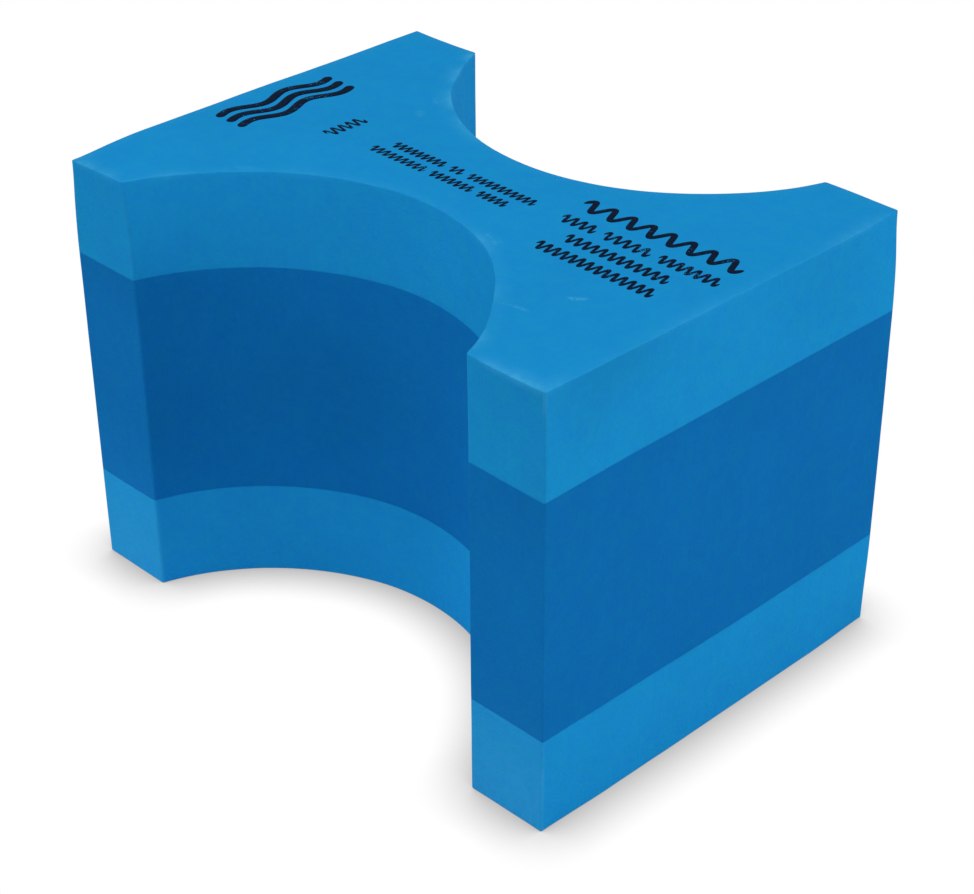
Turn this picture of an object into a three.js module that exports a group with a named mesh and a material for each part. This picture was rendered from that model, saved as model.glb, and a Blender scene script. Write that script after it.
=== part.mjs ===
// Pull-buoy float: a block of closed-cell foam that a swimmer grips between the thighs.
// Three foam slabs are bonded face to face, and a round thigh scoop is cut through all of them
// on each long side, which leaves an hourglass outline. The maker's marks are printed on top.
//
// Units are millimetres. +X runs along the length, +Y across it, +Z up.
// The origin is the centre of the bottom face.

import * as THREE from "three";

// ---- Driving dimensions ----

const LENGTH = 188;
const WIDTH = 137;
const OUTER_SLAB_THICKNESS = 30;
const CORE_SLAB_THICKNESS = 73.5;
const BOND_THICKNESS = 0.25;

const SCOOP_RADIUS = 71;
const SCOOP_DEPTH = 50; // how far each scoop reaches in from its long side
const SCOOP_LIP_RADIUS = 1; // where a scoop meets the flat side
const CORNER_RADIUS = 1; // the four upright corners

const SCOOP_SEGMENTS = 36;
const LIP_SEGMENTS = 4;
const CORNER_SEGMENTS = 3;
const WAVE_SEGMENTS = 36;

const INK_THICKNESS = 0.125;

// ---- Materials ----

const lightFoam = new THREE.MeshStandardMaterial({ color: "#1a8cc8", roughness: 0.75, metalness: 0 });
const darkFoam = new THREE.MeshStandardMaterial({ color: "#0d65aa", roughness: 0.75, metalness: 0 });
const bondFilm = new THREE.MeshStandardMaterial({ color: "#0c5c9c", roughness: 0.6, metalness: 0 });
const blackInk = new THREE.MeshStandardMaterial({ color: "#10161c", roughness: 0.5, metalness: 0 });

// ---- Foam outline ----

/** Points along a circular arc, both ends included. Angles are in radians. */
function arcPoints(centreX, centreY, radius, startAngle, endAngle, segments) {
  const points = [];
  for (let i = 0; i <= segments; i++) {
    const angle = startAngle + ((endAngle - startAngle) * i) / segments;
    points.push(new THREE.Vector2(centreX + radius * Math.cos(angle), centreY + radius * Math.sin(angle)));
  }
  return points;
}

/** The hourglass seen from above. The -Y half is drawn, and a half turn gives the +Y half. */
function hourglassShape() {
  const downward = -Math.PI / 2;
  const cornerX = LENGTH / 2 - CORNER_RADIUS;
  const cornerY = -WIDTH / 2 + CORNER_RADIUS;

  // Each lip arc touches both the flat side and the scoop circle.
  const scoopCentreY = -WIDTH / 2 + SCOOP_DEPTH - SCOOP_RADIUS;
  const lipY = -WIDTH / 2 + SCOOP_LIP_RADIUS;
  const lipX = Math.sqrt((SCOOP_RADIUS + SCOOP_LIP_RADIUS) ** 2 - (lipY - scoopCentreY) ** 2);
  const scoopHalfAngle = Math.atan2(lipX, lipY - scoopCentreY);

  const scoop = arcPoints(
    0, scoopCentreY, SCOOP_RADIUS, Math.PI / 2 + scoopHalfAngle, Math.PI / 2 - scoopHalfAngle, SCOOP_SEGMENTS,
  );
  const nearHalf = [
    ...arcPoints(-cornerX, cornerY, CORNER_RADIUS, 2 * downward, downward, CORNER_SEGMENTS),
    ...arcPoints(-lipX, lipY, SCOOP_LIP_RADIUS, downward, downward + scoopHalfAngle, LIP_SEGMENTS),
    ...scoop.slice(1, -1), // its ends are the lips' ends
    ...arcPoints(lipX, lipY, SCOOP_LIP_RADIUS, downward - scoopHalfAngle, downward, LIP_SEGMENTS),
    ...arcPoints(cornerX, cornerY, CORNER_RADIUS, downward, 0, CORNER_SEGMENTS),
  ];
  const farHalf = nearHalf.map((point) => point.clone().negate());
  return new THREE.Shape([...nearHalf, ...farHalf]);
}

// ---- Printed marks ----

/** A plain bar, length along X and height along Y, centred on the origin. */
function barShape(length, height) {
  return new THREE.Shape([
    new THREE.Vector2(-length / 2, -height / 2),
    new THREE.Vector2(length / 2, -height / 2),
    new THREE.Vector2(length / 2, height / 2),
    new THREE.Vector2(-length / 2, height / 2),
  ]);
}

/** One water-wave stroke along X: two full sine waves of even thickness. */
function waveShape(length, amplitude, thickness) {
  const edge = (side) => {
    const points = [];
    for (let i = 0; i <= WAVE_SEGMENTS; i++) {
      const share = i / WAVE_SEGMENTS;
      const x = (share - 0.5) * length;
      const y = amplitude * Math.sin(4 * Math.PI * share) + (side * thickness) / 2;
      points.push(new THREE.Vector2(x, y));
    }
    return points;
  };
  return new THREE.Shape([...edge(-1), ...edge(1).reverse()]);
}

// ---- Assembly ----

const model = new THREE.Group();

/** Extrudes a flat shape upwards from height z and adds it to the parent under a name. */
function addLayer(parent, name, shape, z, thickness, material) {
  const geometry = new THREE.ExtrudeGeometry(shape, { depth: thickness, bevelEnabled: false });
  const mesh = new THREE.Mesh(geometry, material);
  mesh.name = name;
  mesh.position.z = z;
  parent.add(mesh);
  return mesh;
}

/** Stacks the slabs and the bond films between them, and returns the height of the top face. */
function addFoamStack(parent) {
  const outline = hourglassShape();
  const layers = [
    ["lower_slab", OUTER_SLAB_THICKNESS, lightFoam],
    ["lower_bond_film", BOND_THICKNESS, bondFilm],
    ["core_slab", CORE_SLAB_THICKNESS, darkFoam],
    ["upper_bond_film", BOND_THICKNESS, bondFilm],
    ["upper_slab", OUTER_SLAB_THICKNESS, lightFoam],
  ];
  let height = 0;
  for (const [name, thickness, material] of layers) {
    addLayer(parent, name, outline, height, thickness, material);
    height += thickness;
  }
  return height;
}

/** Prints a shape in ink on the top face, centred at (x, y). */
function addPrint(parent, name, shape, x, y) {
  const mesh = addLayer(parent, name, shape, 0, INK_THICKNESS, blackInk);
  mesh.position.x = x;
  mesh.position.y = y;
}

/** Three waves side by side: the plain emblem at the -X end, which reads along +Y. */
function addWaveEmblem(parent) {
  const centreX = -80;
  const strokeLength = 43;
  const strokePitch = 5;
  const amplitude = 1.7;
  const strokeThickness = 3;
  const emblem = new THREE.Group();
  emblem.position.x = centreX;
  emblem.rotation.z = Math.PI / 2;
  for (let i = 0; i < 3; i++) {
    const wave = waveShape(strokeLength, amplitude, strokeThickness);
    addPrint(emblem, `printed_wave_${i + 1}`, wave, 0, (1 - i) * strokePitch);
  }
  parent.add(emblem);
}

/** The short mark beside the emblem, turned the same way. */
function addSizeMark(parent) {
  addPrint(parent, "printed_size_mark", barShape(5, 14), -53.5, 0);
}

/** Plain bars that stand where the small print lies, longest dimension along X. */
function addPrintedLines(parent) {
  const lines = [
    { name: "printed_note_line_1", x: -6.5, y: 2, length: 56, height: 4 },
    { name: "printed_note_line_2", x: -10.5, y: -4, length: 54, height: 4 },
    { name: "printed_notice_heading", x: 58.5, y: 11.5, length: 56, height: 7.5 },
    { name: "printed_notice_line_1", x: 59.5, y: 1.5, length: 55, height: 5 },
    { name: "printed_notice_line_2", x: 59, y: -6.5, length: 36, height: 5 },
    { name: "printed_notice_line_3", x: 58.5, y: -14.5, length: 41, height: 5 },
  ];
  for (const { name, x, y, length, height } of lines) {
    addPrint(parent, name, barShape(length, height), x, y);
  }
}

const print = new THREE.Group();
print.position.z = addFoamStack(model);
addWaveEmblem(print);
addSizeMark(print);
addPrintedLines(print);
model.add(print);

export default model;
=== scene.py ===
"""Pull-buoy float: three bonded slabs of closed-cell foam with generic marks printed on top.

Lengths are in metres, in the CAD model's frame: +X along the length, +Y across the width and +Z up,
with the origin at the centre of the bottom face. The tables of places on the block are in millimetres.
"""

import math

import bpy
import numpy as np
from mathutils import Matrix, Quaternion, Vector, geometry, noise


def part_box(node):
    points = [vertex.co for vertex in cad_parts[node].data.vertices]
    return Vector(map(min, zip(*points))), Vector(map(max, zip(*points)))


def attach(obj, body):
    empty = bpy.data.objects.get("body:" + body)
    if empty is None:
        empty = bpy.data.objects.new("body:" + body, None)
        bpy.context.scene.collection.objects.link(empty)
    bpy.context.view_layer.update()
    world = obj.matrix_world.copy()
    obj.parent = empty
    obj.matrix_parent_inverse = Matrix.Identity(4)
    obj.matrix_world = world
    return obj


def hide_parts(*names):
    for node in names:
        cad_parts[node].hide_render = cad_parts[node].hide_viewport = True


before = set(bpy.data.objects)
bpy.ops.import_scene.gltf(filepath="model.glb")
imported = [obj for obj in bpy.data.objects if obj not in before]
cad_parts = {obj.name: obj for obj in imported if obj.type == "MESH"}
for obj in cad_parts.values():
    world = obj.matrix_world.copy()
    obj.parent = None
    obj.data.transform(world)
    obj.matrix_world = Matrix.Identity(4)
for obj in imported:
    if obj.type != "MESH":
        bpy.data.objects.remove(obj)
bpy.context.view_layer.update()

MM = 0.001

# ---- Sizes ----

core_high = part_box("core_slab")[1]
HALF_LENGTH = core_high.x
HALF_WIDTH = core_high.y
HALF_WAIST = min(abs(vertex.co.y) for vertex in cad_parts["core_slab"].data.vertices)
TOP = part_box("upper_slab")[1].z

SCOOP_RADIUS = 71 * MM
LIP_RADIUS = 1.0 * MM  # where a scoop meets the flat side
CORNER_RADIUS = 0.6 * MM  # the four upright corners
SCOOP_CENTRE_Y = HALF_WAIST + SCOOP_RADIUS  # on the +Y side; the -Y side mirrors it

OPEN_EDGE_RADIUS = 0.35 * MM  # top and bottom rims
BONDED_EDGE_RADIUS = 0.05 * MM  # rims that meet a bond film

# ---- Mesh fineness ----

OUTLINE_STEP = 1.3 * MM
ARC_STEP = 0.2 * MM
WALL_STEP = 1.5 * MM
RIM_STEPS = 5
FACE_STEP = 1.6 * MM
HIDDEN_FACE_STEP = 8 * MM
LATTICE_MARGIN = 0.6  # room between a face's inner points and its rim, in steps

# ---- How the foam departs from the exact block ----

# Each is a height, and the width of its bumps.
CUT_WANDER, CUT_WANDER_WIDTH = 0.2 * MM, 26 * MM  # slow drift of the cutting wire
CUT_RIPPLE, CUT_RIPPLE_WIDTH = 0.05 * MM, 7 * MM
FACE_SWELL, FACE_SWELL_WIDTH = 0.12 * MM, 38 * MM  # slow rise and fall of the top face
FACE_RIPPLE, FACE_RIPPLE_WIDTH = 0.03 * MM, 9 * MM
RIM_DROOP = 0.12 * MM  # the top face sinks a little towards its rim
RIM_DROOP_REACH = 3.5 * MM
TOP_FADE_POWER = 4  # how quickly the top face's unevenness dies out down the slab's side

# Where the hot wire left the drawn line, seen from above, in millimetres:
# x and y of the middle, how far it went in x and y, and the reach.
WIRE_SLIPS = (
    (54, -46, -2.6, 0.0, 18),  # the near scoop's +X flank is straighter than its arc
    (42, -33, 0.0, -0.7, 12),
    (-4, -18, 0.0, 0.5, 22),
    (-82, 70, 0.0, -2.8, 30),  # the far lobe at the -X end is cut short
    (-61, 53, 1.5, 0.0, 13),
    (45, 38, -0.4, 0.4, 26),
)

# Places that were pressed or drawn out of line, in millimetres: x, y and z of the middle, the push in
# x, y and z, and the reach.
PRESSED_PLACES = (
    (-94, -68.5, 134, 1.2, 0.2, -0.9, 15),
    (-67.8, -68.5, 134, -1.6, 0.0, 0.0, 14),
    (62, -68.5, 134, -0.3, 0.0, 0.5, 9),
    (94, 68.5, 134, -1.2, -0.3, -0.1, 14),
    (94, -68.5, 134, -0.5, 0.3, 0.0, 12),
    (94, -68.5, 104, -0.2, 0.2, -0.8, 24),  # the joints are not quite level
    (80, -68.5, 30, 0.0, 0.0, 0.5, 24),
    (94, 8, 30, 0.0, 0.0, -0.5, 38),
    (94, -68.5, 0, -0.7, 0.4, 0.0, 18),
    (94, 68.5, 0, -0.6, 0.0, 0.0, 18),
)
SETTLED_HEIGHT = 20 * MM  # below this the presses lift and sink less and less, so the bottom stays flat


# ---- Outline of the block ----

LIP_CENTRE_Y = HALF_WIDTH - LIP_RADIUS
LIP_CENTRE_X = math.sqrt((SCOOP_RADIUS + LIP_RADIUS) ** 2 - (SCOOP_CENTRE_Y - LIP_CENTRE_Y) ** 2)
SCOOP_HALF_ANGLE = math.atan2(LIP_CENTRE_X, SCOOP_CENTRE_Y - LIP_CENTRE_Y)


def arc(centre, radius, start, end, step, hollow=False):
    """Points and outward directions along an arc, its ends included. A hollow arc faces its centre."""
    count = max(3, math.ceil(radius * abs(end - start) / step))
    angles = np.linspace(start, end, count + 1)
    away = np.stack([np.cos(angles), np.sin(angles)], axis=1)
    return np.array(centre) + radius * away, -away if hollow else away


def straight(start, end):
    """Points between start and end, the ends left out, and the outward direction to their right."""
    start, end = np.array(start), np.array(end)
    length = np.linalg.norm(end - start)
    shares = np.linspace(0, 1, max(2, math.ceil(length / OUTLINE_STEP)) + 1)[1:-1, None]
    along = (end - start) / length
    points = start + shares * (end - start)
    return points, np.tile([along[1], -along[0]], (len(points), 1))


def block_outline():
    """The hourglass outline, counter-clockwise from above: points and outward directions."""
    down = -math.pi / 2
    corner_x = HALF_LENGTH - CORNER_RADIUS
    corner_y = HALF_WIDTH - CORNER_RADIUS
    half_angle = SCOOP_HALF_ANGLE
    scoop_centre = (0, -SCOOP_CENTRE_Y)
    scoop_points, scoop_outward = arc(
        scoop_centre, SCOOP_RADIUS, half_angle - down, -half_angle - down, OUTLINE_STEP, hollow=True
    )
    runs = [
        arc((-corner_x, -corner_y), CORNER_RADIUS, 2 * down, down, ARC_STEP),
        straight((-corner_x, -HALF_WIDTH), (-LIP_CENTRE_X, -HALF_WIDTH)),
        arc((-LIP_CENTRE_X, -LIP_CENTRE_Y), LIP_RADIUS, down, down + half_angle, ARC_STEP),
        (scoop_points[1:-1], scoop_outward[1:-1]),  # its ends are the lips' ends
        arc((LIP_CENTRE_X, -LIP_CENTRE_Y), LIP_RADIUS, down - half_angle, down, ARC_STEP),
        straight((LIP_CENTRE_X, -HALF_WIDTH), (corner_x, -HALF_WIDTH)),
        arc((corner_x, -corner_y), CORNER_RADIUS, down, 0, ARC_STEP),
        straight((HALF_LENGTH, -corner_y), (HALF_LENGTH, corner_y)),
    ]
    points = np.concatenate([run[0] for run in runs])
    outward = np.concatenate([run[1] for run in runs])
    return np.concatenate([points, -points]), np.concatenate([outward, -outward])


OUTLINE, OUTWARD = block_outline()


def depth_inside(x, y):
    """How far (x, y) lies inside the outline, with its small corner arcs ignored."""
    to_scoop = np.hypot(x, SCOOP_CENTRE_Y - np.abs(y)) - SCOOP_RADIUS
    return np.minimum(np.minimum(HALF_LENGTH - np.abs(x), HALF_WIDTH - np.abs(y)), to_scoop)


def smooth_noise(x, y, z, size, offset):
    """Repeatable noise from -1 to 1 with bumps about size wide. Each offset has its own pattern."""
    return np.array([
        noise.noise(Vector((a / size + offset, b / size - offset, c / size)))
        for a, b, c in np.broadcast(x, y, z)
    ])


def top_height(x, y):
    """Height of the foam's top face at (x, y)."""
    droop = RIM_DROOP * np.exp(-np.maximum(depth_inside(x, y), 0) / RIM_DROOP_REACH)
    swell = FACE_SWELL * smooth_noise(x, y, 0, FACE_SWELL_WIDTH, 3.1)
    ripple = FACE_RIPPLE * smooth_noise(x, y, 0, FACE_RIPPLE_WIDTH, 7.7)
    return TOP - droop + swell + ripple


# ---- Foam slabs ----

def wall_drift(x, y, z):
    """How far a cut side stands out from the exact outline. Its bumps are drawn out upright."""
    wander = CUT_WANDER * smooth_noise(x, y, z / 3, CUT_WANDER_WIDTH, 1.3)
    ripple = CUT_RIPPLE * smooth_noise(x, y, z / 2, CUT_RIPPLE_WIDTH, 5.9)
    return wander + ripple


def as_found(points):
    """The points of the drawn block, moved by the wire's slips and the pressed places."""
    moved = points.copy()
    for x, y, push_x, push_y, reach in WIRE_SLIPS:
        away = points[:, :2] - np.array([x, y]) * MM
        share = np.exp(-(away ** 2).sum(axis=1) / (reach * MM) ** 2)
        moved[:, :2] += share[:, None] * np.array([push_x, push_y]) * MM
    for *place, push_x, push_y, push_z, reach in PRESSED_PLACES:
        away = points - np.array(place) * MM
        share = np.exp(-(away ** 2).sum(axis=1) / (reach * MM) ** 2)
        moved += share[:, None] * np.array([push_x, push_y, push_z]) * MM
    settled = np.clip(points[:, 2] / SETTLED_HEIGHT, 0, 1)
    moved[:, 2] = points[:, 2] + settled * (moved[:, 2] - points[:, 2])
    return moved


def rim_profile(radius):
    """(inset, rise) pairs round a quarter circle, from the flat face to the upright side."""
    angles = np.linspace(0, math.pi / 2, RIM_STEPS + 1)
    return [(radius * (1 - math.sin(a)), radius * (1 - math.cos(a))) for a in angles]


def slab_rings(low, high, low_radius, high_radius):
    """(inset, height) of each ring of points up a slab's side."""
    lower = [(inset, low + rise) for inset, rise in rim_profile(low_radius)]
    upper = [(inset, high - rise) for inset, rise in reversed(rim_profile(high_radius))]
    start, end = lower[-1][1], upper[0][1]
    count = max(1, math.ceil((end - start) / WALL_STEP))
    side = [(0.0, height) for height in np.linspace(start, end, count + 1)[1:-1]]
    return lower + side + upper


def lattice(step, margin):
    """A triangular lattice of points inside the outline, at least margin from it."""
    row_height = step * math.sqrt(3) / 2
    xs = np.arange(-HALF_LENGTH, HALF_LENGTH, step)
    ys = np.arange(-HALF_WIDTH, HALF_WIDTH, row_height)
    grid_x, grid_y = np.meshgrid(xs, ys)
    grid_x = grid_x + step / 2 * (np.arange(len(ys)) % 2)[:, None]
    grid_x, grid_y = grid_x.ravel(), grid_y.ravel()
    inside = depth_inside(grid_x, grid_y) > margin
    return np.stack([grid_x[inside], grid_y[inside]], axis=1)


def fill_face(ring, ring_start, extra_start, step):
    """Triangles that close a ring of (x, y) points, and the extra points they use."""
    extra = lattice(step, OPEN_EDGE_RADIUS + LATTICE_MARGIN * step)
    count = len(ring)
    points = [Vector(p) for p in np.concatenate([ring, extra])]
    rim = [(i, (i + 1) % count) for i in range(count)]
    _, _, triangles, origins, _, _ = geometry.delaunay_2d_cdt(points, rim, [], 1, 1e-9)
    source = [min(found) for found in origins]
    places = [ring_start + s if s < count else extra_start + s - count for s in source]
    return extra, [[places[i] for i in triangle] for triangle in triangles]


def add_piece(name, points, faces):
    """A smooth-shaded mesh object that rides on the block's only body."""
    mesh = bpy.data.meshes.new(name)
    mesh.from_pydata([tuple(p) for p in points], [], faces)
    mesh.shade_smooth()
    piece = bpy.data.objects.new(name, mesh)
    bpy.context.scene.collection.objects.link(piece)
    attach(piece, "root")
    return piece


def build_slab(name, open_bottom=False, open_top=False):
    """One foam slab in the place of its CAD node. An open face is one that no film covers."""
    low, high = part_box(name)[0].z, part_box(name)[1].z
    low_radius = OPEN_EDGE_RADIUS if open_bottom else BONDED_EDGE_RADIUS
    high_radius = OPEN_EDGE_RADIUS if open_top else BONDED_EDGE_RADIUS
    rings = slab_rings(low, high, low_radius, high_radius)
    count = len(OUTLINE)

    stack = []
    for inset, height in rings:
        flat = OUTLINE - OUTWARD * inset
        drift = wall_drift(flat[:, 0], flat[:, 1], height)
        flat = flat + OUTWARD * drift[:, None]
        stack.append(np.column_stack([flat, np.full(count, height)]))
    points = np.concatenate(stack)

    faces = []
    for ring in range(len(rings) - 1):
        for i in range(count):
            a = ring * count + i
            b = ring * count + (i + 1) % count
            faces.append((a, b, b + count, a + count))

    top_start = (len(rings) - 1) * count
    low_step = FACE_STEP if open_bottom else HIDDEN_FACE_STEP
    high_step = FACE_STEP if open_top else HIDDEN_FACE_STEP
    low_extra, low_faces = fill_face(points[:count, :2], 0, len(points), low_step)
    points = np.concatenate([points, np.column_stack([low_extra, np.full(len(low_extra), low)])])
    high_extra, high_faces = fill_face(
        points[top_start:top_start + count, :2], top_start, len(points), high_step
    )
    points = np.concatenate([points, np.column_stack([high_extra, np.full(len(high_extra), high)])])
    faces += [face[::-1] for face in low_faces] + high_faces

    if open_top:
        rise = top_height(points[:, 0], points[:, 1]) - TOP
        fade = np.clip((points[:, 2] - low) / (high - low), 0, 1) ** TOP_FADE_POWER
        points[:, 2] += rise * fade

    piece = add_piece(f"{name}_foam", as_found(points), faces)
    drawn = piece.data.attributes.new("drawn_place", "FLOAT_VECTOR", "POINT")
    drawn.data.foreach_set("vector", points.ravel())
    return piece


def build_bond_film(name):
    """A thin adhesive film, held just inside the cut sides of the slabs it joins."""
    low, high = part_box(name)[0].z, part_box(name)[1].z
    count = len(OUTLINE)
    inset = BONDED_EDGE_RADIUS / 2
    flat = OUTLINE - OUTWARD * inset
    drift = wall_drift(flat[:, 0], flat[:, 1], (low + high) / 2)
    flat = flat + OUTWARD * drift[:, None]
    points = np.concatenate([
        np.column_stack([flat, np.full(count, low)]),
        np.column_stack([flat, np.full(count, high)]),
    ])
    faces = [(i, (i + 1) % count, (i + 1) % count + count, i + count) for i in range(count)]
    low_extra, low_faces = fill_face(flat, 0, len(points), HIDDEN_FACE_STEP)
    points = np.concatenate([points, np.column_stack([low_extra, np.full(len(low_extra), low)])])
    high_extra, high_faces = fill_face(flat, count, len(points), HIDDEN_FACE_STEP)
    points = np.concatenate([points, np.column_stack([high_extra, np.full(len(high_extra), high)])])
    faces += [face[::-1] for face in low_faces] + high_faces
    return add_piece(f"{name}_glue", as_found(points), faces)


# ---- Printed marks ----

INK_RISE = 0.03 * MM
INK_ROOT = 0.12 * MM  # how far the ink reaches into the foam, so that no gap shows
INK_EDGE_DROP = 0.7 * INK_RISE  # the ink thins towards its edges
INK_STEP = 0.25 * MM
RIBBON_COLUMNS = np.array([-1.0, -0.4, 0.4, 1.0])  # across a band, in half widths
EMBLEM_THICKNESS = 3 * MM
GROUP_GAP = 0.55  # between two groups of small waves, as a share of their height


def wave_ribbon(start, along, length, amplitude, wavelength, thickness, slant=0.0):
    """A wave-shaped band with round ends, as closed points and faces that follow the top face.

    start is the band's first end, along is the direction in which it runs, and slant leans it forward.
    """
    steps = math.ceil(length * 3 / INK_STEP)  # a steep wave's path is about three times its length
    s = np.linspace(0, 1, steps + 1)
    x = s * length
    y = amplitude * np.sin(2 * math.pi * x / wavelength)
    centre = np.stack([x + slant * y, y], axis=1)
    heading = np.gradient(centre, axis=0)
    heading /= np.linalg.norm(heading, axis=1)[:, None]
    side = np.stack([-heading[:, 1], heading[:, 0]], axis=1)
    to_end = np.minimum(x, length - x) / (thickness / 2)
    half = thickness / 2 * np.sqrt(np.clip(1 - (1 - np.clip(to_end, 0.02, 1)) ** 2, 0, 1))

    grid = centre[:, None, :] + side[:, None, :] * (half[:, None] * RIBBON_COLUMNS)[:, :, None]
    along = np.array(along)
    left = np.array([-along[1], along[0]])
    flat = np.array(start) + grid[..., :1] * along + grid[..., 1:] * left
    flat = flat.reshape(-1, 2)
    height = top_height(flat[:, 0], flat[:, 1])
    edge_drop = np.tile(np.where(np.abs(RIBBON_COLUMNS) == 1, INK_EDGE_DROP, 0), steps + 1)
    upper = np.column_stack([flat, height + INK_RISE - edge_drop])
    lower = np.column_stack([flat, height - INK_ROOT])

    columns = len(RIBBON_COLUMNS)
    count = len(flat)
    faces = []
    for i in range(steps):
        for j in range(columns - 1):
            a = i * columns + j
            faces.append((a, a + columns, a + columns + 1, a + 1))
            faces.append((a + count + 1, a + count + columns + 1, a + count + columns, a + count))
        for j, flip in ((0, False), (columns - 1, True)):
            a = i * columns + j
            wall = (a, a + count, a + count + columns, a + columns)
            faces.append(wall[::-1] if flip else wall)
    for i, flip in ((0, False), (steps, True)):
        for j in range(columns - 1):
            a = i * columns + j
            wall = (a, a + 1, a + count + 1, a + count)
            faces.append(wall[::-1] if flip else wall)
    return np.concatenate([upper, lower]), faces


def add_print(node, ribbons):
    """One printed piece made of several ribbons, standing for a CAD print."""
    points, faces = [], []
    for ribbon_points, ribbon_faces in ribbons:
        start = sum(len(p) for p in points)
        points.append(ribbon_points)
        faces += [tuple(start + i for i in face) for face in ribbon_faces]
    piece = add_piece(f"{node}_ink", np.concatenate(points), faces)
    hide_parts(node)
    return piece


def print_emblem_wave(node):
    """One bold wave of the emblem, running along +Y."""
    low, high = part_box(node)
    length = high.y - low.y
    amplitude = (high.x - low.x - EMBLEM_THICKNESS) / 2
    start = ((low.x + high.x) / 2, low.y)
    wave = wave_ribbon(start, (0, 1), length, amplitude, length / 2, EMBLEM_THICKNESS)
    return add_print(node, [wave])


def print_wave_row(node, shares, turned=False, wavelength=0.6, weight=0.21, slant=0.0):
    """A row of small waves that fills a CAD bar.

    shares are the relative lengths of its groups. The wavelength and the weight, which is the band's
    thickness, are shares of the row's height. A turned row runs along +Y.
    """
    low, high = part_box(node)
    if turned:
        length, height = high.y - low.y, high.x - low.x
        start, along = Vector(((low.x + high.x) / 2, low.y)), Vector((0, 1))
    else:
        length, height = high.x - low.x, high.y - low.y
        start, along = Vector((low.x, (low.y + high.y) / 2)), Vector((1, 0))
    gap = height * GROUP_GAP
    thickness = height * weight
    usable = length - gap * (len(shares) - 1)
    ribbons = []
    for share in shares:
        run = usable * share / sum(shares)
        periods = max(1, round(run / (height * wavelength)))
        ribbons.append(wave_ribbon(
            start, along, run, (height - thickness) / 2, run / periods, thickness, slant
        ))
        start = start + along * (run + gap)
    return add_print(node, ribbons)


# ---- Materials ----

# Pale scuffs on the top face, in millimetres: x, y, angle in degrees, length, width, bend in 1/m and
# strength.
SCUFFS = (
    (67, -29.5, 37, 6.5, 1.3, 60, 0.5),
    (60.5, -43, 8, 6, 1.1, 0, 0.35),
    (56, -44, 18, 6, 1.2, 0, 0.18),
    (26, -20.2, -12, 4, 1.0, 0, 0.4),
    (30, -22, -30, 4.5, 1.2, 0, 0.4),
    (30.5, -20.5, -25, 3, 1.0, 0, 0.3),
    (-52, -38, 42, 9, 1.2, 0, 0.2),
    (-48.5, 31.5, -45, 7, 2.0, 0, 0.22),
    (-45, 21.5, -45, 7, 2.2, 0, 0.2),
)

# Painted shade and light on the cut sides, where they are darker or lighter than the rest: x, y, z and
# reach in millimetres, and how much darker. A place below 0 is lighter, with painted light.
PAINTED_LIGHT_AND_SHADE = (
    (94, -47, 146, 42, 0.19),  # the end face under the rim, by the near corner
    (94, 35, 122, 50, 0.05),
    (-30, -26, 65, 35, 0.08),  # painted shade in the near scoop's middle
    (-80, -68.5, 8, 60, -0.11),  # painted light at the near side's foot at the -X end
    (-45, -38, 119, 38, -0.07),
    (38, -33, 25, 55, -0.17),  # painted light on the near scoop's +X flank, low down
    (30, -28, 68, 38, -0.07),
)
PAINTED_SIDE_SHADE = 0.085  # share of painted shade by which the upper slab's flat sides are darker
LOW_SIDE, HIGH_SIDE = 85 * MM, 112 * MM  # heights between which the painted shade on the flat sides sets in

# Stretches of edge that are rubbed paler: x, y, z and reach in millimetres, and strength.
RUBBED = (
    (-67, 65, 134, 8, 0.5),
    (-60, 51, 134, 13, 0.6),
    (-46, 36, 134, 13, 0.6),
    (-31, 26, 134, 11, 0.5),
    (-24, 22, 134, 12, 0.4),
    (-88, -67, 134, 11, 0.55),
    (-77, -68, 134, 11, 0.45),
    (-62, -56, 134, 12, 0.3),
    (-38, -29, 134, 14, 0.2),
    (27, -24, 134, 13, 0.4),
    (52, -42, 134, 12, 0.25),
    (64, -62, 134, 9, 0.45),
    (78, -68, 134, 11, 0.5),
    (86, -67, 134, 14, 0.75),
    (94, 50, 134, 25, 0.32),
    (94, -16, 134, 34, 0.2),
    (94, -68, 14, 24, 0.4),
)

# Widths of the foam's features
PORE = 0.55 * MM
STREAK = 1.5 * MM  # upright lines that the cutting wire leaves
STREAK_STRETCH = 0.03  # Z counts this much, which draws the streaks out upright
MOTTLE = 1.6 * MM
FLAKE = 1.0 * MM  # gaps in a scuff
WEAR_BREAKUP = 2.5 * MM
TINT_PATCH = 5 * MM
WEAR_PATCH = 12 * MM
BLOTCH = 24 * MM

# Widths of the features of the ink and the adhesive
PINHOLE = 0.5 * MM
INK_TONE_PATCH = 1.2 * MM
INK_SHEEN_PATCH = 1.5 * MM
THIN_INK_PATCH = 4 * MM
GLUE_PATCH = 3 * MM

# Heights that the bump shading stands for
PIT_DEPTH = 0.08 * MM
STREAK_DEPTH = 0.05 * MM
DENT_DEPTH = 0.10 * MM
GLUE_DEPTH = 0.05 * MM
INK_DEPTH = 0.03 * MM

# Reach of each kind of wear and painted edge highlight from its edge
RIM_LINE = 0.7 * MM
RIM_HAZE = 5 * MM
BAND = 6.5 * MM  # on the top face along a rubbed stretch
BAND_MIDDLE = 2.5 * MM
UNDER_BAND = 2.4 * MM  # the same stretch, on the side below the rim
UPRIGHT_LINE = 1.0 * MM
RUBBED_UPRIGHT = 1.4 * MM
FLAT_SIDE = 1.5 * MM  # depth within which a place counts as on the flat side
FOOT_HEIGHT = 60 * MM  # how far up the flat sides the paleness near the floor reaches, partly wear and partly painted floor light


def srgb(red, green, blue):
    """A linear colour from 0 to 255 display values."""
    def linear(value):
        value /= 255
        return value / 12.92 if value <= 0.04045 else ((value + 0.055) / 1.055) ** 2.4
    return (linear(red), linear(green), linear(blue), 1.0)


def scaled(colour, factor):
    return tuple(c * factor for c in colour[:3]) + (1.0,)


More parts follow.
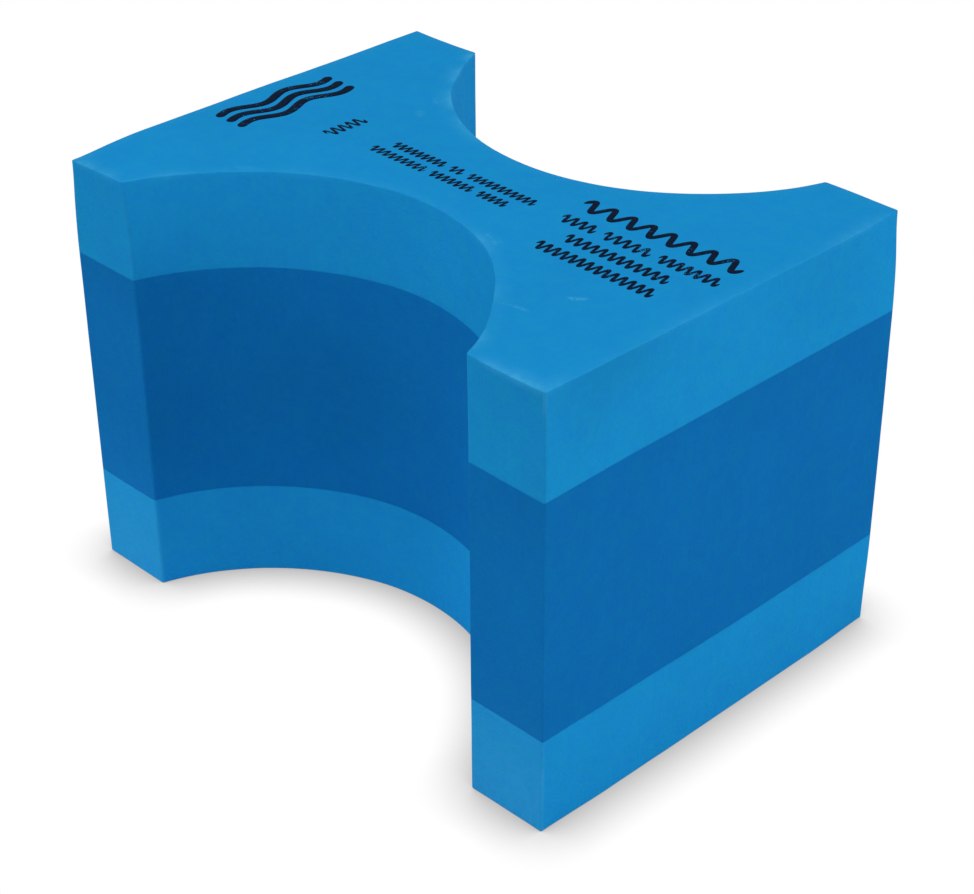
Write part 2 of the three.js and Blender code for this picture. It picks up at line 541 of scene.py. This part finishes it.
class Graph:
    """Short calls for building one material's node tree."""

    def __init__(self, name):
        self.material = bpy.data.materials.new(name)
        self.material.use_nodes = True
        self.tree = self.material.node_tree
        self.shader = self.tree.nodes["Principled BSDF"]
        self.position = self.node("ShaderNodeTexCoord").outputs["Object"]
        self.normal = self.node("ShaderNodeNewGeometry").outputs["Normal"]

    def node(self, kind, **settings):
        made = self.tree.nodes.new(kind)
        for key, value in settings.items():
            setattr(made, key, value)
        return made

    def feed(self, socket, value):
        if isinstance(value, bpy.types.NodeSocket):
            self.tree.links.new(value, socket)
        else:
            socket.default_value = value

    def math(self, operation, first, second=0.0):
        made = self.node("ShaderNodeMath", operation=operation)
        for socket, value in zip(made.inputs, (first, second)):
            self.feed(socket, value)
        return made.outputs[0]

    def chain(self, operation, values):
        total = values[0]
        for value in values[1:]:
            total = self.math(operation, total, value)
        return total

    def add(self, *values):
        return self.chain("ADD", values)

    def times(self, *values):
        return self.chain("MULTIPLY", values)

    def least(self, *values):
        return self.chain("MINIMUM", values)

    def greatest(self, *values):
        return self.chain("MAXIMUM", values)

    def minus(self, first, second):
        return self.math("SUBTRACT", first, second)

    def absolute(self, value):
        return self.math("ABSOLUTE", value)

    def distance(self, *legs):
        """The length of the line whose legs are given."""
        return self.math("SQRT", self.add(*[self.times(leg, leg) for leg in legs]))

    def between(self, value, start, end, low=0.0, high=1.0):
        """A smooth step: low below start, high above end."""
        made = self.node("ShaderNodeMapRange", interpolation_type="SMOOTHSTEP")
        for socket, given in zip(made.inputs, (value, start, end, low, high)):
            self.feed(socket, given)
        return made.outputs[0]

    def fade(self, distance, reach):
        """1 at no distance, falling smoothly to 0 at reach."""
        return self.between(distance, 0.0, reach, 1.0, 0.0)

    def parts(self, vector):
        """The X, Y and Z of a vector."""
        made = self.node("ShaderNodeSeparateXYZ")
        self.feed(made.inputs[0], vector)
        return list(made.outputs)

    def stretched(self, factors):
        """The position scaled by factors along X, Y and Z."""
        made = self.node("ShaderNodeMapping", vector_type="POINT")
        self.feed(made.inputs["Vector"], self.position)
        made.inputs["Scale"].default_value = factors
        return made.outputs[0]

    def grain(self, size, detail, place=None, roughness=0.5):
        """Soft noise from 0 to 1 with bumps about size wide."""
        made = self.node("ShaderNodeTexNoise")
        self.feed(made.inputs["Vector"], place or self.position)
        made.inputs["Scale"].default_value = 1 / size
        made.inputs["Detail"].default_value = detail
        made.inputs["Roughness"].default_value = roughness
        return made.outputs["Fac"]

    def cells(self, size):
        """Distance from the nearest foam cell's middle, from 0 to about 1."""
        made = self.node("ShaderNodeTexVoronoi")
        self.feed(made.inputs["Vector"], self.position)
        made.inputs["Scale"].default_value = 1 / size
        return made.outputs["Distance"]

    def mix(self, share, first, second, blend_type="MIX"):
        made = self.node("ShaderNodeMix", data_type="RGBA", blend_type=blend_type)
        self.feed(made.inputs[0], share)
        self.feed(made.inputs[6], first)
        self.feed(made.inputs[7], second)
        return made.outputs[2]

    def bump(self, height, distance, under=None):
        """A bumped normal, laid over the normal under it."""
        made = self.node("ShaderNodeBump")
        self.feed(made.inputs["Height"], height)
        made.inputs["Distance"].default_value = distance
        if under:
            self.feed(made.inputs["Normal"], under)
        return made.outputs[0]

    def scuff(self, x, y, angle, length, width, bend, strength):
        """A pale stroke on the top face, centred at (x, y), that bends like a shallow bowl."""
        moved = self.node("ShaderNodeMapping", vector_type="TEXTURE")
        self.feed(moved.inputs["Vector"], self.position)
        moved.inputs["Location"].default_value = (x * MM, y * MM, TOP)
        moved.inputs["Rotation"].default_value = (0, 0, math.radians(angle))
        along, across, up = self.parts(moved.outputs[0])
        bowed = self.minus(across, self.times(along, along, bend))
        body = self.between(self.absolute(along), length * 0.2 * MM, length * 0.5 * MM, 1.0, 0.0)
        line = self.fade(self.absolute(bowed), width * MM)
        near_top = self.between(self.absolute(up), 2 * MM, 4 * MM, 1.0, 0.0)
        return self.times(body, line, near_top, strength)


def around(g, place, x, y, z, reach, strength):
    """Strength at (x, y, z), falling to 0 at reach."""
    legs = [g.minus(part, middle * MM) for part, middle in zip(place, (x, y, z))]
    return g.times(g.fade(g.distance(*legs), reach * MM), strength)


def edge_wear_and_highlight(g, place, top_facing, cut):
    """How pale each place is from rubbed wear and painted highlight, from 0 to 1.

    Every edge has a fine line, partly wear and partly painted highlight, and every rim a faint haze.
    The rubbed stretches have wider bands on both sides of the edge, and the flat sides have a faint
    haze near the floor, partly wear and partly painted light from the floor.
    """
    x, y, z = place
    to_end = g.minus(HALF_LENGTH, g.absolute(x))
    to_side = g.minus(HALF_WIDTH, g.absolute(y))
    to_scoop = g.minus(g.distance(x, g.minus(SCOOP_CENTRE_Y, g.absolute(y))), SCOOP_RADIUS)
    inside = g.greatest(g.least(to_end, to_side, to_scoop), 0.0)
    below_top = g.absolute(g.minus(TOP, z))
    to_rim = g.distance(inside, g.least(g.absolute(z), below_top))
    to_upright = g.least(g.distance(to_end, to_side), g.distance(to_side, to_scoop))

    patch = g.between(g.grain(WEAR_PATCH, 3), 0.35, 0.65)
    breakup = g.between(g.grain(WEAR_BREAKUP, 4), 0.3, 0.7)
    stretches = [around(g, place, *stretch) for stretch in RUBBED]
    rubbed = g.times(g.greatest(*stretches), g.add(0.5, g.times(breakup, 0.5)))

    # a fine pale line along every rim: wear and painted highlight
    rim_wear_and_highlight = g.times(g.fade(to_rim, RIM_LINE), g.add(0.03, g.times(patch, 0.15)))
    rim_haze = g.times(g.fade(inside, RIM_HAZE), top_facing, g.add(0.02, g.times(breakup, 0.08)))
    falloff = g.add(g.times(g.fade(inside, BAND), 0.6), g.times(g.fade(inside, BAND_MIDDLE), 0.4))
    band = g.times(falloff, top_facing, rubbed)
    under_band = g.times(g.fade(below_top, UNDER_BAND), cut, rubbed, 0.45)
    # a fine pale line up every upright edge: wear and painted highlight
    upright_wear_and_highlight = g.times(g.fade(to_upright, UPRIGHT_LINE), g.add(0.02, g.times(patch, 0.05)))
    rubbed_upright = g.times(g.fade(to_upright, RUBBED_UPRIGHT), cut, rubbed)
    # paleness low on the flat sides: wear and painted light from the floor
    foot = g.times(g.fade(to_side, FLAT_SIDE), cut, g.fade(z, FOOT_HEIGHT))
    foot_wear_and_floor_light = g.times(foot, g.add(0.14, g.times(breakup, 0.08)))
    return g.greatest(
        rim_wear_and_highlight, rim_haze, band, under_band, upright_wear_and_highlight, rubbed_upright, foot_wear_and_floor_light
    )


def painted_side_light_and_shade(g, place, cut):
    """Painted shade and light on the cut sides: the colour is multiplied by it, below 1 where darker
    and above 1 where lighter.
    """
    _, y, z = place
    places = [around(g, place, *darker) for darker in PAINTED_LIGHT_AND_SHADE]
    to_side = g.minus(HALF_WIDTH, g.absolute(y))
    # painted shade on the upper slab's flat sides
    side = g.times(g.fade(to_side, FLAT_SIDE), g.between(z, LOW_SIDE, HIGH_SIDE), PAINTED_SIDE_SHADE)
    return g.minus(1.0, g.times(cut, g.add(side, *places)))


def foam_material(name, colour, pale):
    """Closed-cell foam: pitted and streaked cut sides, smoother faces, pale where worn and along
    painted highlights, and painted shade on the sides.
    """
    g = Graph(name)
    top_facing = g.between(g.absolute(g.parts(g.normal)[2]), 0.5, 0.7)
    cut = g.minus(1.0, top_facing)
    drawn = g.node("ShaderNodeAttribute", attribute_name="drawn_place")
    place = g.parts(drawn.outputs["Vector"])

    blotch = g.grain(BLOTCH, 3)
    mottle = g.grain(MOTTLE, 3)
    pores = g.cells(PORE)
    streak = g.grain(STREAK, 2, g.stretched((1, 1, STREAK_STRETCH)))

    shade = g.add(
        0.5,
        g.times(g.minus(blotch, 0.5), 0.5),
        g.times(g.minus(mottle, 0.5), g.add(0.35, g.times(cut, 0.15))),
        g.times(g.minus(streak, 0.5), cut, 0.14),
        g.times(g.minus(pores, 0.45), 0.12),
    )
    base = g.mix(shade, scaled(colour, 0.88), scaled(colour, 1.12))
    tint = g.between(g.grain(TINT_PATCH, 2, roughness=0.6), 0.3, 0.7)
    greener, bluer = (1.0, 1.03, 0.985, 1), (1.0, 0.97, 1.015, 1)
    base = g.mix(1.0, base, g.mix(tint, greener, bluer), blend_type="MULTIPLY")
    # painted shade and light on the cut sides
    base = g.mix(1.0, base, painted_side_light_and_shade(g, place, cut), blend_type="MULTIPLY")

    scuffs = g.add(*[g.scuff(*scuff) for scuff in SCUFFS])
    flaked = g.between(g.grain(FLAKE, 3), 0.3, 0.6)
    # pale wear, with painted highlights along the edges
    wear_and_highlight_share = g.greatest(edge_wear_and_highlight(g, place, top_facing, cut), g.times(scuffs, flaked))
    g.feed(g.shader.inputs["Base Color"], g.mix(wear_and_highlight_share, base, pale))

    roughness = g.add(0.5, g.times(mottle, 0.14), g.times(wear_and_highlight_share, 0.25), g.times(cut, 0.06))
    g.feed(g.shader.inputs["Roughness"], roughness)
    g.shader.inputs["Specular IOR Level"].default_value = 0.005
    g.shader.inputs["Specular Tint"].default_value = scaled(colour, 1.6)

    pits = g.bump(g.times(pores, g.add(0.35, g.times(cut, 0.65))), PIT_DEPTH)
    lines = g.bump(g.times(streak, cut), STREAK_DEPTH, pits)
    dents = g.bump(g.add(mottle, g.times(scuffs, 0.4)), DENT_DEPTH, lines)
    g.feed(g.shader.inputs["Normal"], dents)
    return g.material


def bond_material():
    """Adhesive edge: between the two foams' colours, and a little smoother."""
    g = Graph("bond_film")
    patch = g.grain(GLUE_PATCH, 3)
    colour = srgb(12, 119, 184)
    g.feed(g.shader.inputs["Base Color"], g.mix(patch, scaled(colour, 0.92), scaled(colour, 1.08)))
    g.feed(g.shader.inputs["Roughness"], g.add(0.4, g.times(patch, 0.2)))
    g.feed(g.shader.inputs["Normal"], g.bump(patch, GLUE_DEPTH))
    g.shader.inputs["Specular IOR Level"].default_value = 0.02
    return g.material


def ink_material(foam_colour):
    """Screen ink: near black, with pinholes where it missed the foam's pores."""
    g = Graph("black_ink")
    coat = g.add(g.times(g.grain(PINHOLE, 2), 0.6), g.times(g.grain(THIN_INK_PATCH, 2), 0.4))
    cover = g.between(coat, 0.33, 0.40)
    tone = g.mix(g.grain(INK_TONE_PATCH, 2), srgb(0, 12, 34), srgb(0, 26, 56))
    g.feed(g.shader.inputs["Base Color"], g.mix(cover, foam_colour, tone))
    sheen = g.grain(INK_SHEEN_PATCH, 2)
    g.feed(g.shader.inputs["Roughness"], g.add(0.5, g.times(sheen, 0.2)))
    g.feed(g.shader.inputs["Normal"], g.bump(g.cells(PORE), INK_DEPTH))
    g.shader.inputs["Specular IOR Level"].default_value = 0.04
    return g.material


# ---- Stage ----

FLOOR_REACH = 6.0
FLOOR_PATCH = 0.4
SHADOW_REACH = 16.5 * MM
SHADOW_DEPTH = 0.92  # darkness of the painted shadow on the floor where nothing but the block is visible from it

SURROUNDINGS = 0.45  # brightness of the white surroundings as a light
SOFTBOX_DISTANCE = 1.6
SOFTBOX_SIZE = 1.0

LENS = 84.49  # millimetres, on a sensor 36 mm wide
CAMERA_AZIMUTH, CAMERA_ELEVATION, CAMERA_ROLL = 45.69, 31.64, -0.38
CAMERA_AIM = (0.0424, -0.0195, 0.2856)  # in block lengths
CAMERA_DISTANCE = 3.5255  # in block lengths


def build_floor():
    """A wide pale floor. The camera sees it glow white, with a painted soft grey shadow close round the
    block; other rays meet a pale matt floor.
    """
    mesh = bpy.data.meshes.new("floor")
    reach = FLOOR_REACH
    corners = [(-reach, -reach, 0), (reach, -reach, 0), (reach, reach, 0), (-reach, reach, 0)]
    mesh.from_pydata(corners, [], [(0, 1, 2, 3)])
    floor = bpy.data.objects.new("floor", mesh)
    bpy.context.scene.collection.objects.link(floor)

    g = Graph("pale_floor")
    grey, white = (0.95, 0.95, 0.95, 1), (0.98, 0.98, 0.98, 1)
    g.feed(g.shader.inputs["Base Color"], g.mix(g.grain(FLOOR_PATCH, 2), grey, white))
    g.shader.inputs["Roughness"].default_value = 0.9
    g.shader.inputs["Specular IOR Level"].default_value = 0.1
    # the glow's strength paints a soft shadow where the block hides the surroundings
    openness = g.node("ShaderNodeAmbientOcclusion", samples=16)
    openness.inputs["Distance"].default_value = SHADOW_REACH
    camera_glow = g.node("ShaderNodeEmission")
    openness_share = g.times(openness.outputs["AO"], SHADOW_DEPTH)
    g.feed(camera_glow.inputs["Strength"], g.add(openness_share, 1 - SHADOW_DEPTH))
    choose = g.node("ShaderNodeMixShader")
    g.feed(choose.inputs[0], g.node("ShaderNodeLightPath").outputs["Is Camera Ray"])
    g.feed(choose.inputs[1], g.shader.outputs[0])
    g.feed(choose.inputs[2], camera_glow.outputs[0])
    g.feed(g.tree.nodes["Material Output"].inputs["Surface"], choose.outputs[0])
    mesh.materials.append(g.material)


def build_world():
    """Even white surroundings: white to the camera, and dimmer as a light."""
    world = bpy.data.worlds.new("studio")
    bpy.context.scene.world = world
    world.use_nodes = True
    tree = world.node_tree
    background = tree.nodes["Background"]
    rays = tree.nodes.new("ShaderNodeLightPath")
    choose = tree.nodes.new("ShaderNodeMix")
    choose.inputs[2].default_value = SURROUNDINGS
    choose.inputs[3].default_value = 1.0
    tree.links.new(rays.outputs["Is Camera Ray"], choose.inputs[0])
    tree.links.new(choose.outputs[0], background.inputs["Strength"])
    background.inputs["Color"].default_value = (1, 1, 1, 1)


def direction(azimuth, elevation):
    """Towards a place round the block. Azimuth 0 is on the -Y side, and 90 on the +X side."""
    a, e = math.radians(azimuth), math.radians(elevation)
    return Vector((math.sin(a) * math.cos(e), -math.cos(a) * math.cos(e), math.sin(e)))


def add_softbox(name, azimuth, elevation, power):
    """A square area light aimed at the block's middle."""
    light = bpy.data.lights.new(name, "AREA")
    light.shape = "SQUARE"
    light.size = SOFTBOX_SIZE
    light.energy = power
    lamp = bpy.data.objects.new(name, light)
    bpy.context.scene.collection.objects.link(lamp)
    away = direction(azimuth, elevation)
    lamp.location = Vector((0, 0, TOP / 2)) + away * SOFTBOX_DISTANCE
    lamp.rotation_mode = "QUATERNION"
    lamp.rotation_quaternion = away.to_track_quat("Z", "Y")


def build_camera():
    """The camera, above the near corner at the +X end and aimed near the block's middle."""
    length = 2 * HALF_LENGTH
    data = bpy.data.cameras.new("camera")
    data.lens = LENS
    data.sensor_width = 36
    data.clip_end = 50
    camera = bpy.data.objects.new("camera", data)
    bpy.context.scene.collection.objects.link(camera)
    away = direction(CAMERA_AZIMUTH, CAMERA_ELEVATION)
    aim = Vector(CAMERA_AIM) * length
    camera.location = aim + away * CAMERA_DISTANCE * length
    camera.rotation_mode = "QUATERNION"
    roll = Quaternion((0, 0, 1), math.radians(CAMERA_ROLL))
    camera.rotation_quaternion = away.to_track_quat("Z", "Y") @ roll
    bpy.context.scene.camera = camera


# ---- Assembly ----

light_blue = srgb(24, 139, 202)
dark_blue = srgb(13, 107, 174)

light_foam = foam_material("light_blue_foam", light_blue, pale=srgb(76, 174, 222))
dark_foam = foam_material("dark_blue_foam", dark_blue, pale=srgb(40, 135, 200))
bond = bond_material()
ink = ink_material(light_blue)

for node, open_bottom, open_top, slot, material in (
    ("lower_slab", True, False, "light_blue_foam", light_foam),
    ("core_slab", False, False, "dark_blue_foam", dark_foam),
    ("upper_slab", False, True, "light_blue_foam", light_foam),
):
    slab = build_slab(node, open_bottom, open_top)
    slab.data.materials.append(material)
    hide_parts(node)

for node in ("lower_bond_film", "upper_bond_film"):
    film = build_bond_film(node)
    film.data.materials.append(bond)
    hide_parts(node)

prints = [print_emblem_wave(f"printed_wave_{number}") for number in (1, 2, 3)]
prints += [
    print_wave_row("printed_size_mark", (1,), turned=True, weight=0.17),
    print_wave_row("printed_note_line_1", (4, 1, 5), slant=0.2),
    print_wave_row("printed_note_line_2", (4, 3, 2), slant=0.2),
    print_wave_row("printed_notice_heading", (1,), wavelength=0.9, weight=0.25),
    print_wave_row("printed_notice_line_1", (3, 4, 5)),
    print_wave_row("printed_notice_line_2", (1,)),
    print_wave_row("printed_notice_line_3", (1,)),
]
for piece in prints:
    piece.data.materials.append(ink)

build_floor()
build_world()
add_softbox("key", azimuth=0, elevation=70, power=12)
add_softbox("right_fill", azimuth=120, elevation=15, power=8.5)
add_softbox("left_fill", azimuth=-45, elevation=15, power=2.8)
build_camera()
bpy.context.scene.view_settings.view_transform = "Standard"
